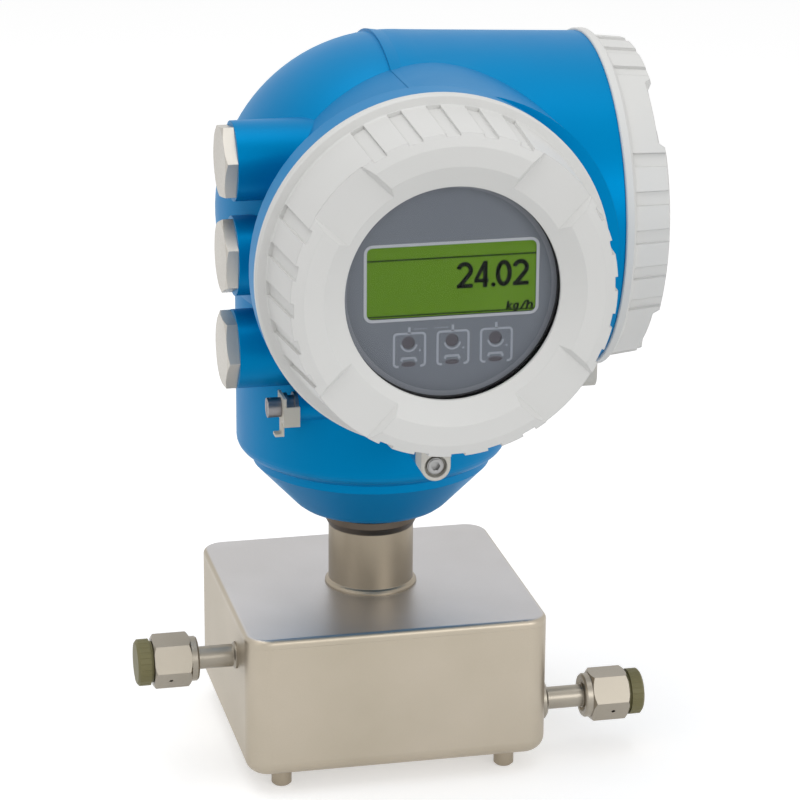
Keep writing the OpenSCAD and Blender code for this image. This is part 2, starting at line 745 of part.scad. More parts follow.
// Cover blank: flange, leaning grip wall and front with a sloped rim, turned about Z
module cover_blank(h, r_grip, r_front)
    rotate_extrude($fn = 128) polygon([
        [0, 0], [cover_r - 0.5, 0], [cover_r, 0.5], [cover_r, 3.6], [cover_r - 0.9, 4.5],
        [r_grip + 0.7, 4.9], [r_grip, 5.8], [r_front, h - shoulder_drop],
        [r_front - shoulder, h], [0, h]]);

// Grip grooves of all four groups
module grip_cuts(h, r_grip, r_front) {
    lean = atan2(r_grip - r_front, h - shoulder_drop - 5.8);
    for (q = [0:90:270], i = [0:grip_grooves - 1])
        rotate([0, 0, q + (i - (grip_grooves - 1) / 2) * groove_pitch])
            translate([r_grip, 0, 5.8]) rotate([0, -lean, 0])
                translate([-grip_depth, -3, -0.6]) cube([12, 6, h]);
}

// Front of the four smooth lugs: it lies lower, and the sectors slope down to it
module lug_cuts(h, r_inner, drop) {
    w = (r_inner + cover_r) / 2 * tan(lug_half);
    for (q = [45:90:315])
        rotate([0, 0, q]) translate([r_inner, 0, h - drop]) rotate([90, 0, 90])
            linear_extrude(cover_r + 2 - r_inner) polygon([
                [-w, 0], [w, 0], [w + drop, drop * 1.5], [-w - drop, drop * 1.5]]);
}

// Male thread under the flange
module cover_spigot() translate([0, 0, -cover_thread_depth])
    cylinder(h = cover_thread_depth + 1, r = thread_r, $fn = 96);

module display_cover() color(cover_grey) {
    h = display_cover_height;
    r_grip = cover_r - 4.7;
    r_front = cover_r - 7.6;
    wh = h - 6;                       // window lip over the seat
    at_display_seat() rotate([0, 0, cover_turn]) difference() {
        union() {
            difference() {
                cover_blank(h, r_grip, r_front);
                grip_cuts(h, r_grip, r_front);
                lug_cuts(h, 40, display_lug_drop);
            }
            cover_spigot();
        }
        // inner bevel down to the window lip
        translate([0, 0, wh]) cylinder(h = 6.02, r1 = window_r, r2 = window_r + 9.6, $fn = 128);
        translate([0, 0, wh - lip - 1]) cylinder(h = 10, r = window_r, $fn = 128);
        translate([0, 0, wh - lip - gasket - glass]) cylinder(h = gasket + glass, r = glass_r + 0.05, $fn = 96);
        translate([0, 0, -20]) cylinder(h = 20 + wh - lip - gasket - glass + eps, r = glass_r + 2, $fn = 96);
        translate([0, 0, -20]) cylinder(h = wh - 6.6, r = thread_r - 5, $fn = 96);
        translate([0, 0, wh - 26.6]) cylinder(h = 12, r1 = thread_r - 5, r2 = glass_r + 2, $fn = 96);
    }
}

module connection_cover() color(cover_grey) {
    h = connection_cover_height;
    r_grip = cover_r - 3;
    r_front = cover_r - 4.6;
    at_connection_seat() difference() {
        union() {
            difference() {
                cover_blank(h, r_grip, r_front);
                grip_cuts(h, r_grip, r_front);
                lug_cuts(h, 58, connection_lug_drop);
                translate([0, 0, h - 1.6]) cylinder(h = 3, r1 = 57, r2 = 59, $fn = 96);
            }
            cover_spigot();
        }
        translate([0, 0, -20]) cylinder(h = h + 13, r = thread_r - 7, $fn = 96);
    }
}

module cover_seal_ring() color(seal_black)
    translate([0, 0, -1.7]) ring(thread_r + run_fit, thread_r + 3.1, 1.7);

module display_cover_seal() at_display_seat() cover_seal_ring();
module connection_cover_seal() at_connection_seat() cover_seal_ring();

module window_gasket() color(seal_black)
    at_display_seat() translate([0, 0, display_cover_height - 6 - lip - gasket])
        ring(window_r + 0.6, glass_r, gasket);

module window_glass() color([0.8, 0.85, 0.85, 0.3])
    at_display_seat() translate([0, 0, display_cover_height - 6 - lip - gasket - glass])
        cylinder(h = glass, r = glass_r, $fn = 96);

// Threaded ring that holds the glass in the cover
module window_ring() color(dark)
    at_display_seat() translate([0, 0, display_cover_height - 6 - lip - gasket - glass - 3.4]) difference() {
        ring(bezel_r + 0.6, glass_r + 1.9, 3.4);
        for (a = [0:90:270]) rotate([0, 0, a]) translate([bezel_r + 2.6, 0, -1])
            cylinder(h = 3, r = 1, $fn = 16);
    }

// Claw that locks a cover against turning, pressed to its rim by the screw
module claw() difference() {
    union() {
        cylinder(h = clamp_thickness, r = clamp_r, $fn = 48);
        translate([-clamp_r, 0, 0]) cube([2 * clamp_r, clamp_offset - cover_r + 1, clamp_thickness]);
    }
    translate([0, 0, -1]) cylinder(h = clamp_thickness + 2, r = screw_r + 0.1, $fn = 32);
    translate([0, 0, clamp_thickness - screw_recess]) cylinder(h = 5, r = screw_head_r + 1.3, $fn = 48);
    translate([0, clamp_offset, -1]) cylinder(h = clamp_thickness + 2, r = cover_r + 0.1, $fn = 128);
}

module claw_screw() difference() {
    union() {
        translate([0, 0, -10]) cylinder(h = 10 + clamp_thickness - screw_recess + 1, r = screw_r, $fn = 32);
        translate([0, 0, clamp_thickness - screw_recess]) cylinder(h = screw_head - 0.5, r = screw_head_r, $fn = 48);
        translate([0, 0, clamp_thickness - screw_recess]) cylinder(h = screw_head, r = screw_head_r - 0.5, $fn = 48);
    }
    translate([0, 0, clamp_thickness - screw_recess + 1]) cylinder(h = 4, r = 2, $fn = 6);
}

module display_clamp() color(cover_grey) at_display_clamp() claw();
module display_clamp_screw() color(bright) at_display_clamp() claw_screw();
module connection_clamp() color(cover_grey) at_connection_clamp() claw();
module connection_clamp_screw() color(bright) at_connection_clamp() claw_screw();

// ---------------------------------------------------------------- display

// Plug-in module behind the window; it can be turned to suit the pipe run
module display_holder() color(dark)
    translate([display_shift, 0, axis_z]) difference() {
        union() {
            along_y(bezel_y + bezel, bezel_y + bezel + 8, bezel_r, fn = 96);
            along_y(bezel_y + bezel + 7, web_y - web - 30, bezel_r - 8, fn = 96);
            along_y(web_y - web - 31, web_y - web - 26, bezel_r - 4, fn = 96);
        }
        translate([lcd_x - display_shift - lcd_width / 2 - 2, bezel_y, lcd_z - axis_z - lcd_height / 2 - 2])
            cube([lcd_width + 4, bezel + 2, lcd_height + 4]);
    }

module display_bezel() color(disc_grey)
    difference() {
        translate([display_shift, 0, axis_z]) along_y(bezel_y, bezel_y + bezel, bezel_r, fn = 128);
        translate([lcd_x, bezel_y, lcd_z]) rotate([90, 0, 0]) translate([0, 0, -bezel - 1])
            linear_extrude(bezel + 2) round_plate(lcd_width, lcd_height, 2.5);
        for (i = [-1:1]) translate([lcd_x + i * key_spacing, bezel_y, key_z])
            along_y(-1, bezel + 1, 2.7, fn = 32);
    }

module lcd_panel() color(lcd_green)
    translate([lcd_x - lcd_width / 2 - 1, bezel_y + bezel, lcd_z - lcd_height / 2 - 1]) {
        cube([lcd_width + 2, 2, lcd_height + 2]);
        // glass block that fills the opening of the bezel
        translate([lcd_width / 2 + 1, 0, lcd_height / 2 + 1]) rotate([90, 0, 0])
            linear_extrude(bezel - 0.6) round_plate(lcd_width - 0.6, lcd_height - 0.6, 2.2);
    }

// Optical keys, worked by touch through the glass
module key_windows() color(dark)
    for (i = [-1:1]) translate([lcd_x + i * key_spacing, bezel_y, key_z])
        along_y(0.3, bezel, 2.65, fn = 32);

// ------------------------------------------------------------------ build

sensor_tub();
sensor_lid();
mounting_studs();
neck_tube();
neck_feedthrough();
inlet_tube();
inlet_nut();
inlet_seal();
inlet_cap();
outlet_tube();
outlet_nut();
outlet_seal();
outlet_cap();
measuring_tube();
tube_carrier();
coil_bracket();
drive_coil();
pickoff_coils();
tube_magnets();
temperature_sensor();
housing();
neck_seal();
electronics_module();
terminal_board();
terminal_strip();
ground_screw();
ground_clamp();
ground_washer();
entry_plug_top();
entry_seal_top();
entry_plug_middle();
entry_seal_middle();
entry_plug_bottom();
entry_seal_bottom();
display_cover();
display_cover_seal();
window_gasket();
window_glass();
window_ring();
display_clamp();
display_clamp_screw();
connection_cover();
connection_cover_seal();
connection_clamp();
connection_clamp_screw();
display_holder();
display_bezel();
lcd_panel();
key_windows();
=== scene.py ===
import math

import bpy
from mathutils import Matrix, Vector


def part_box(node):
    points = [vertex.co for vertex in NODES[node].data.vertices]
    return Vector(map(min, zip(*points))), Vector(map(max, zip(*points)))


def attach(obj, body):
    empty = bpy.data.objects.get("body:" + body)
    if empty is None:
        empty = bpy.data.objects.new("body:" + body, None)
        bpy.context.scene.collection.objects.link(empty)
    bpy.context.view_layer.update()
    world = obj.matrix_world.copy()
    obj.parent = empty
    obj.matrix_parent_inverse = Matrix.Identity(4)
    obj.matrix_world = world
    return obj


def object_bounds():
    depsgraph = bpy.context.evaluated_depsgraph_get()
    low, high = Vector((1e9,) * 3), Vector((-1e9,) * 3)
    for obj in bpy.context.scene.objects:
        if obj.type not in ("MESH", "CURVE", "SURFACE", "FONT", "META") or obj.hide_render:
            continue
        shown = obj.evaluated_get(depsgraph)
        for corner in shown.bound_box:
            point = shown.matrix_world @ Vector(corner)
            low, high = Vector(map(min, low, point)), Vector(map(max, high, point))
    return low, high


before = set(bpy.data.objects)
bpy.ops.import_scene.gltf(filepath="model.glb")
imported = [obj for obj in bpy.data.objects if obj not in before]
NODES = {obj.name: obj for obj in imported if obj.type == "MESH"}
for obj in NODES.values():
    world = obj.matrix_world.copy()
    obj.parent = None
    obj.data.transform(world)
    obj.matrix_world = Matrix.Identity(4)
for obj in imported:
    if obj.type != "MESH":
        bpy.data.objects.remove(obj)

CAD_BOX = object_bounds()
MM = 0.001
WHITE = (1, 1, 1, 1)
NECK_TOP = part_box("neck_tube")[1][2]

# ------------------------------------------------------------------ camera

CAMERA_AT = Vector((-302.86, -1381.10, 632.50)) * MM
CAMERA_FORWARD = Vector((0.21190, 0.92520, -0.31482))
CAMERA_UP = Vector((0.06382, 0.30835, 0.94913))
CAMERA_LENS = 146.96
CAMERA_SENSOR = 36.0


def make_camera():
    data = bpy.data.cameras.new("camera")
    data.lens = CAMERA_LENS
    data.sensor_width = CAMERA_SENSOR
    data.clip_start = 0.05
    data.clip_end = 60.0
    cam = bpy.data.objects.new("camera", data)
    bpy.context.scene.collection.objects.link(cam)
    back = (-CAMERA_FORWARD).normalized()
    right = CAMERA_UP.cross(back).normalized()
    up = back.cross(right)
    rot = Matrix((right, up, back)).transposed()
    cam.matrix_world = Matrix.Translation(CAMERA_AT) @ rot.to_4x4()
    bpy.context.scene.camera = cam


make_camera()

# --------------------------------------------------------------- materials

# radius in metres of the softly broken edges of coated and of turned parts
COAT_EDGE = 0.0006
METAL_EDGE = 0.0003

# sockets of a Mix node that blends colours
MIX_FACTOR, MIX_FIRST, MIX_SECOND = 0, 6, 7
MIX_RESULT = 2

# pairs of tones that a noise blends, darker first
BOX_TONES = (0.43, 0.38, 0.30), (0.475, 0.42, 0.34)
# the lid's top tones are painted light: lighter and cooler than the box, as if lit from above
LID_TOP_LIT_TONES = (0.53, 0.515, 0.51), (0.58, 0.565, 0.565)
TURNED_TONES = (0.31, 0.265, 0.20), (0.40, 0.345, 0.27)

# painted shade above the top of the neck, where the housing's lowest band is painted dark steel,
# and painted shade on the neck below its top, where the housing shades it
FOOT_SHADE_TONE = (0.105, 0.086, 0.070)
FOOT_SHADE_HEIGHT = 2.6 * MM
FOOT_SHADE_BLEND = 0.3 * MM
NECK_SHADE_TONE = (0.105, 0.086, 0.068)
NECK_SHADE_HEIGHT = 6.6 * MM
NECK_SHADE_BLEND = 0.8 * MM

COAT_METALLIC = 0.25
FOOT_SHADE_METALLIC = 0.9
METAL_GRAIN = 0.08


class Nodes:
    """Small helper that builds one node material."""

    SOCKETS = {"metal": "Metallic", "rough": "Roughness", "spec": "Specular IOR Level",
               "glow": "Emission Strength"}

    def __init__(self, name, edge=0.0):
        self.mat = bpy.data.materials.new(name)
        self.mat.use_nodes = True
        self.tree = self.mat.node_tree
        self.bsdf = self.tree.nodes["Principled BSDF"]
        self.coords = self.tree.nodes.new("ShaderNodeTexCoord")
        self.bumps = None
        if edge > 0:
            bevel = self.new("ShaderNodeBevel", Radius=edge)
            bevel.samples = 4
            self.bumps = bevel.outputs["Normal"]
            self.link(self.bumps, self.bsdf.inputs["Normal"])

    def new(self, kind, **sockets):
        node = self.tree.nodes.new(kind)
        for key, value in sockets.items():
            node.inputs[key].default_value = value
        return node

    def link(self, a, b):
        self.tree.links.new(a, b)

    def set(self, **values):
        for key, value in values.items():
            self.bsdf.inputs[self.SOCKETS[key]].default_value = value

    def part_of(self, output, letter):
        """X, Y or Z of one of the texture coordinate outputs."""
        split = self.new("ShaderNodeSeparateXYZ")
        self.link(self.coords.outputs[output], split.inputs[0])
        return split.outputs[letter]

    def mapped(self, stretch=(1, 1, 1)):
        node = self.new("ShaderNodeMapping", Scale=stretch)
        self.link(self.coords.outputs["Object"], node.inputs["Vector"])
        return node.outputs["Vector"]

    def noise(self, scale, detail=2.0, rough=0.5, stretch=(1, 1, 1)):
        node = self.new("ShaderNodeTexNoise", Scale=scale, Detail=detail, Roughness=rough)
        self.link(self.mapped(stretch), node.inputs["Vector"])
        return node.outputs["Fac"]

    def ramp(self, value, low, high, at=(0.35, 0.65)):
        node = self.new("ShaderNodeValToRGB")
        for element, place, tone in zip(node.color_ramp.elements, at, (low, high)):
            element.position = place
            element.color = tuple(tone) + (1,)
        self.link(value, node.inputs["Fac"])
        return node.outputs["Color"]

    def range(self, value, low, high, start=0.0, end=1.0):
        node = self.new("ShaderNodeMapRange")
        limits = (("From Min", start), ("From Max", end), ("To Min", low), ("To Max", high))
        for key, number in limits:
            node.inputs[key].default_value = number
        self.link(value, node.inputs["Value"])
        return node.outputs["Result"]

    def mix(self, level, first, second):
        """Blend of two colours, each a socket or a tone."""
        node = self.new("ShaderNodeMix")
        node.data_type = "RGBA"
        self.link(level, node.inputs[MIX_FACTOR])
        for place, value in ((MIX_FIRST, first), (MIX_SECOND, second)):
            if isinstance(value, tuple):
                node.inputs[place].default_value = value + (1,)
            else:
                self.link(value, node.inputs[place])
        return node.outputs[MIX_RESULT]

    def bump(self, height, strength, distance):
        node = self.new("ShaderNodeBump", Strength=strength, Distance=distance)
        self.link(height, node.inputs["Height"])
        if self.bumps is not None:
            self.link(self.bumps, node.inputs["Normal"])
        self.bumps = node.outputs["Normal"]
        self.link(self.bumps, self.bsdf.inputs["Normal"])

    def base(self):
        """The socket that feeds the base colour."""
        return self.bsdf.inputs["Base Color"].links[0].from_socket

    def set_base(self, color):
        self.link(color, self.bsdf.inputs["Base Color"])

    def set_rough(self, value):
        self.link(value, self.bsdf.inputs["Roughness"])


def coat_paint(name, low, high, rough, orange_peel=0.05, tint=(1, 1, 1), metal=0.0):
    m = Nodes(name, COAT_EDGE)
    m.bsdf.inputs["Specular Tint"].default_value = tuple(tint) + (1,)
    m.set_base(m.ramp(m.noise(9.0, 3.0), low, high))
    m.set_rough(m.range(m.noise(60.0, 3.0), rough - 0.04, rough + 0.05))
    m.set(metal=metal, spec=0.5)
    m.bump(m.noise(650.0, 2.0), orange_peel, 0.0004)
    m.bump(m.noise(2600.0, 1.0), orange_peel * 0.6, 0.0001)
    return m


def brushed_metal(name, low, high, rough, stretch=(1, 1, 1), grain=1500.0):
    m = Nodes(name, METAL_EDGE)
    m.set_base(m.ramp(m.noise(14.0, 4.0), low, high))
    grain_fac = m.noise(grain, 3.0, 0.6, stretch)
    m.set_rough(m.range(grain_fac, rough - 0.07, rough + 0.09, 0.3, 0.7))
    m.set(metal=1.0)
    m.bump(grain_fac, METAL_GRAIN, 0.0001)
    m.bump(m.noise(120.0, 3.0), METAL_GRAIN * 0.5, 0.0003)
    return m


def housing_paint():
    """Blue coat whose edge at the neck is painted dark, metallic steel as painted shade."""
    m = coat_paint("blue_powder_coat", (0.0, 0.205, 0.465), (0.0, 0.225, 0.505), 0.38, 0.04,
                   (0.0, 0.55, 0.9), COAT_METALLIC)
    m.set(spec=0.28)
    start = NECK_TOP + FOOT_SHADE_HEIGHT
    end = start + FOOT_SHADE_BLEND
    height = m.part_of("Object", "Z")
    # painted shade: just above the neck the blue gives way to a dark, metallic band
    m.set_base(m.mix(m.range(height, 0.0, 1.0, start, end), FOOT_SHADE_TONE, m.base()))
    metallic = m.range(height, FOOT_SHADE_METALLIC, COAT_METALLIC, start, end)
    m.link(metallic, m.bsdf.inputs["Metallic"])
    return m.mat


def neck_metal():
    """Turned steel, darkened towards the shoulder under the housing as painted shade."""
    m = brushed_metal("turned_steel_neck", *TURNED_TONES, 0.38, (1, 1, 12))
    start = NECK_TOP - NECK_SHADE_HEIGHT
    level = m.range(m.part_of("Object", "Z"), 0.0, 1.0, start, start + NECK_SHADE_BLEND)
    # painted shade: the top of the neck turns dark where the housing shades it
    m.set_base(m.mix(level, m.base(), NECK_SHADE_TONE))
    return m.mat


def lid_metal():
    """Satin steel whose level top is painted a lighter, cooler tone than its broken edge, as
    painted light from above.
    """
    m = Nodes("satin_steel_lid", METAL_EDGE)
    level = m.range(m.part_of("Normal", "Z"), 0.0, 1.0, 0.80, 0.98)
    clouds = m.noise(14.0, 4.0)
    # painted light: level faces take the lighter top tones, the broken edge keeps the box tones
    m.set_base(m.mix(level, m.ramp(clouds, *BOX_TONES), m.ramp(clouds, *LID_TOP_LIT_TONES)))
    grain_fac = m.noise(1500.0, 3.0, 0.6, (6, 1, 1))
    m.set_rough(m.range(grain_fac, 0.33, 0.47, 0.3, 0.7))
    m.set(metal=1.0)
    m.bump(grain_fac, METAL_GRAIN, 0.0001)
    return m.mat


def plastic(name, low, high, rough, texture=0.1, grain=900.0, spec=0.5):
    m = Nodes(name)
    m.set(spec=spec)
    m.set_base(m.ramp(m.noise(25.0, 3.0), low, high))
    m.set_rough(m.range(m.noise(80.0, 2.0), rough - 0.05, rough + 0.06))
    m.bump(m.noise(grain, 2.0), texture, 0.0002)
    return m.mat


def window_glass():
    """Pane that only reflects: its alpha is the share of light sent back."""
    m = Nodes("window_glass_clear")
    m.set(metal=1.0, rough=0.03)
    m.bsdf.inputs["Base Color"].default_value = (0.92, 0.94, 0.95, 1)
    fresnel = m.new("ShaderNodeFresnel", IOR=1.15)
    streaks = m.range(m.noise(40.0, 2.0), 0.0, 0.003)
    add = m.new("ShaderNodeMath")
    add.operation = "ADD"
    m.link(fresnel.outputs["Fac"], add.inputs[0])
    m.link(streaks, add.inputs[1])
    m.link(add.outputs["Value"], m.bsdf.inputs["Alpha"])
    return m.mat


def lcd_material():
    """Lit green field with barely visible columns of cells."""
    m = Nodes("lcd_green_cells")
    color = m.ramp(m.noise(30.0, 2.0), (0.092, 0.196, 0.008), (0.100, 0.208, 0.011))
    m.set_base(color)
    m.link(color, m.bsdf.inputs["Emission Color"])
    m.set(glow=0.18, rough=0.5, spec=0.05)
    wave = m.new("ShaderNodeTexWave", Scale=700.0, Distortion=0.0)
    wave.bands_direction = "X"
    m.link(m.mapped(), wave.inputs["Vector"])
    m.bump(wave.outputs["Fac"], 0.02, 0.00005)
    return m.mat


def steel(name, low, high, rough, stretch, grain=900.0):
    return brushed_metal(name, low, high, rough, stretch, grain).mat


def flat_disc_tone(name, low, high, rough=0.55):
    """Flat tone on the display disc: print, the smoked key lenses and the painted highlight of
    the rim.
    """
    return plastic(name, low, high, rough, 0.01, spec=0.3)


FINE = 1500.0

BLUE = housing_paint()
GREY = coat_paint("grey_powder_coat", (0.66, 0.66, 0.645), (0.70, 0.70, 0.685), 0.45, 0.04).mat
BOX_STEEL = steel("satin_steel", *BOX_TONES, 0.42, (1, 1, 6), FINE)
LID_STEEL = lid_metal()
NECK_STEEL = steel("turned_steel", *TURNED_TONES, 0.38, (1, 1, 12), FINE)
NECK = neck_metal()
BRIGHT = steel("bright_steel_fine", (0.28, 0.253, 0.209), (0.35, 0.317, 0.265), 0.34,
               (10, 1, 1), FINE)
NICKEL = steel("nickel_plate", (0.46, 0.435, 0.39), (0.54, 0.515, 0.47), 0.38, (8, 1, 1))
CAST = coat_paint("light_casting", (0.56, 0.545, 0.50), (0.62, 0.605, 0.56), 0.45, 0.10).mat
SCREW = steel("screw_steel", (0.30, 0.30, 0.30), (0.38, 0.38, 0.375), 0.35, (6, 1, 1))
CREAM = plastic("cream_moulding", (0.60, 0.56, 0.47), (0.66, 0.62, 0.53), 0.45, 0.05)
WASHER = steel("washer_dark_steel", (0.20, 0.195, 0.20), (0.28, 0.27, 0.27), 0.36, (6, 1, 1))
OLIVE = plastic("olive_polythene", (0.15, 0.135, 0.058), (0.185, 0.168, 0.078), 0.5, 0.08,
                700.0, 0.3)
RUBBER = plastic("seal_rubber_black", (0.012, 0.012, 0.012), (0.022, 0.022, 0.022), 0.7, 0.15)
COPPER = steel("copper_wire_wound", (0.62, 0.26, 0.12), (0.72, 0.34, 0.17), 0.35,
               (1, 1, 20), 800.0)
MAGNET = steel("magnet_dark", (0.12, 0.12, 0.125), (0.16, 0.16, 0.165), 0.4, (1, 1, 1), FINE)
DARK = plastic("black_moulding", (0.015, 0.015, 0.017), (0.028, 0.028, 0.031), 0.5, 0.12)
BEZEL = plastic("bezel_blue_grey", (0.160, 0.179, 0.213), (0.167, 0.186, 0.219), 0.55, 0.002,
                300.0, 0.3)
LCD = lcd_material()
LENS = flat_disc_tone("key_lens_smoked", (0.078, 0.072, 0.088), (0.09, 0.084, 0.10), 0.35)
PRINT = flat_disc_tone("print_light_grey", (0.33, 0.36, 0.42), (0.37, 0.40, 0.46))
PRINT_FAINT = flat_disc_tone("print_faint_grey", (0.31, 0.34, 0.395), (0.34, 0.37, 0.425))
FRAME_PRINT = flat_disc_tone("print_frame_grey", (0.45, 0.47, 0.52), (0.50, 0.52, 0.57), 0.5)
# painted highlight: the rim of the disc is a lighter ring, as if its edge caught the light
RIM = flat_disc_tone("bezel_rim_painted_highlight", (0.25, 0.27, 0.31), (0.27, 0.29, 0.33), 0.5)
INK = plastic("lcd_segment_black", (0.001, 0.003, 0.001), (0.002, 0.004, 0.001), 0.6, 0.0,
              spec=0.02)
# dark line of the header, also used for the painted shadow along the foot of the field
INK_LINE_AND_SHADE = plastic("lcd_segment_line_and_shade", (0.018, 0.045, 0.004), (0.024, 0.054, 0.006), 0.6, 0.0,
                   spec=0.02)
GLASS = window_glass()

LOOKS = {
    "sensor_tub": BOX_STEEL, "sensor_lid": LID_STEEL, "mounting_studs": NECK_STEEL,
    "neck_tube": NECK, "neck_feedthrough": BRIGHT, "neck_seal": RUBBER,
    "measuring_tube": BRIGHT, "tube_carrier": NECK_STEEL, "coil_bracket": NECK_STEEL,
    "drive_coil": COPPER, "pickoff_coils": COPPER, "tube_magnets": MAGNET,
    "temperature_sensor": DARK, "housing": BLUE,
    "electronics_module": DARK, "terminal_board": DARK, "terminal_strip": DARK,
    "ground_screw": WASHER, "ground_clamp": CREAM, "ground_washer": WASHER,
    "window_gasket": RUBBER, "window_glass": GLASS, "window_ring": DARK,
    "display_holder": DARK, "display_bezel": BEZEL, "lcd_panel": LCD, "key_windows": LENS,
}
for end in ("inlet", "outlet"):
    LOOKS[end + "_tube"] = BRIGHT
    LOOKS[end + "_nut"] = BRIGHT
    LOOKS[end + "_seal"] = RUBBER
    LOOKS[end + "_cap"] = OLIVE
for level in ("top", "middle", "bottom"):
    LOOKS["entry_plug_" + level] = NICKEL
    LOOKS["entry_seal_" + level] = RUBBER
for side in ("display", "connection"):
    LOOKS[side + "_cover"] = GREY
    LOOKS[side + "_cover_seal"] = RUBBER
    LOOKS[side + "_clamp"] = CAST
    LOOKS[side + "_clamp_screw"] = SCREW

for name, obj in NODES.items():
    obj.data.materials.clear()
    obj.data.materials.append(LOOKS[name])

# ---------------------------------------------------------- drawing helpers


def flat_mesh(name, loops, y, material, body, depth=0.06 * MM):
    """Thin solid made of convex polygons in the XZ plane whose front lies at y."""
    verts, faces = [], []
    for loop in loops:
        area_sum = sum(a[0] * b[1] - b[0] * a[1] for a, b in zip(loop, loop[1:] + loop[:1]))
        ring = loop if area_sum > 0 else loop[::-1]
        count, first = len(ring), len(verts)
        verts += [(x, y, z) for x, z in ring] + [(x, y + depth, z) for x, z in ring]
        faces.append([first + k for k in range(count)])
        faces.append([first + count + k for k in reversed(range(count))])
        for k in range(count):
            n = (k + 1) % count
            faces.append([first + n, first + k, first + count + k, first + count + n])
    mesh = bpy.data.meshes.new(name)
    mesh.from_pydata(verts, [], faces)
    mesh.materials.append(material)
    piece = bpy.data.objects.new(name, mesh)
    bpy.context.scene.collection.objects.link(piece)
    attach(piece, body)


def band(path, width, closed=False):
    """Quads of a band of even width along a path, mitred at its points."""
    count = len(path)
    sides = []
    for k in range(count):
        before = path[k - 1] if closed or k else None
        after = path[(k + 1) % count] if closed or k < count - 1 else None
        here = Vector(path[k])
        a = (here - Vector(before)).normalized() if before else None
        b = (Vector(after) - here).normalized() if after else None
        a, b = a or b, b or a
        normal = Vector((-a[1] - b[1], a[0] + b[0]))
        normal.normalize()
        reach = width / 2 / max(0.5, normal.dot(Vector((-a[1], a[0]))))
        sides.append((tuple(here + normal * reach), tuple(here - normal * reach)))
    quads = []
    for k in range(count if closed else count - 1):
        n = (k + 1) % count
        quads.append([sides[k][0], sides[k][1], sides[n][1], sides[n][0]])
    return quads


def arc(cx, cz, rx, rz, start, end, steps=14):
    """Points of an elliptic arc, angles in degrees."""
    out = []
    for k in range(steps + 1):
        t = math.radians(start + (end - start) * k / steps)
        out.append((cx + rx * math.cos(t), cz + rz * math.sin(t)))
    return out


def rounded(x0, x1, z0, z1, r, steps=6):
    """Closed outline of a rounded rectangle."""
    corners = ((x1 - r, z1 - r, 0), (x0 + r, z1 - r, 90), (x0 + r, z0 + r, 180),
               (x1 - r, z0 + r, 270))
    out = []
    for cx, cz, start in corners:
        out += arc(cx, cz, r, r, start, start + 90, steps)
    return out


def flat_ring(middle, inner, outer, steps=160):
    """Quads of a flat ring, in metres."""
    quads = []
    for k in range(steps):
        a, b = 2 * math.pi * k / steps, 2 * math.pi * (k + 1) / steps
        quads.append([(middle[0] + r * math.cos(t), middle[2] + r * math.sin(t))
                      for r, t in ((inner, a), (outer, a), (outer, b), (inner, b))])
    return quads


def placed(quads, dx, dz):
    """Quads in millimetres brought to metres and moved."""
    return [[(x * MM + dx, z * MM + dz) for x, z in quad] for quad in quads]


def centre(node):
    low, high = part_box(node)
    return [(a + b) / 2 for a, b in zip(low, high)]


# ----------------------------------------------------------- display signs

# numerals are bands on a field 7 mm wide, with the origin at the lower left
STROKE = 1.95
DIGIT_H = 11.3


def digit_two():
    top = arc(3.35, DIGIT_H - STROKE / 2 - 2.7, 2.6, 2.7, 168, -32, 16)
    foot = [(0.1, STROKE / 2), (6.9, STROKE / 2)]
    return band(top + [(1.35, STROKE / 2)], STROKE) + band(foot, STROKE * 0.92)


def digit_four():
    stem = band([(4.75, 0), (4.75, DIGIT_H)], STROKE)
    slope = band([(4.6, DIGIT_H - 0.6), (0.75, 3.1)], STROKE * 0.85)
    return stem + slope + band([(0.15, 2.95), (6.3, 2.95)], STROKE * 0.85)


def digit_zero():
    steps = 28
    oval = arc(3.3, DIGIT_H / 2, 2.5, DIGIT_H / 2 - STROKE / 2, 0, 360 - 360 / steps, steps - 1)
    return band(oval, STROKE, True)


def point_mark():
    return [arc(0.95, 0.95, 0.98, 0.98, 0, 345, 23)]


# leaning unit letters, as lit cells of the display
UNIT_CELLS = (
    ("#....", "#....", "#..#.", "#.#..", "##...", "#.#..", "#..#.", ".....", "....."),
    (".....", ".....", ".###.", "#..#.", "#..#.", "#..#.", ".###.", "...#.", ".##.."),
    ("....#", "...#.", "...#.", "..#..", "..#..", ".#...", ".#...", ".....", "....."),
    ("#....", "#....", "#.##.", "##..#", "#...#", "#...#", "#...#", ".....", "....."),
)
CELL = 0.5
CELL_WIDE = CELL * 1.9
CELL_HIGH = CELL * 1.35
LETTER_PITCH = 5.6
UNIT_LEAN = 0.15
BASE_ROW = 6


def unit_text():
    quads = []
    for index, rows in enumerate(UNIT_CELLS):
        for r, row in enumerate(rows):
            for c, mark in enumerate(row):
                if mark == "#":
                    x = (index * LETTER_PITCH + c) * CELL
                    z = (BASE_ROW - r) * CELL
                    lean = UNIT_LEAN * (BASE_ROW - r) * CELL
                    left, right = x + lean, x + lean + CELL_WIDE
                    top = z + CELL_HIGH
                    quads.append([(left, z), (right, z), (right, top), (left, top)])
    return quads


# --------------------------------------------------------- display details

DISPLAY = "display_module"

# millimetres from the middle of the liquid crystal field
LCD_LIP = 1.0
READING_DROP = 4.55
READING = (("reading_digit_1", digit_two, 1.8), ("reading_digit_2", digit_four, 9.1),
           ("reading_point", point_mark, 16.4), ("reading_digit_3", digit_zero, 18.4),
           ("reading_digit_4", digit_two, 25.5))
UNIT_RIGHT, UNIT_DROP = 22.9, 14.6
HEADER_RISE = 9.0
FRAME_RADIUS, FRAME_WIDTH = 3.0, 1.25

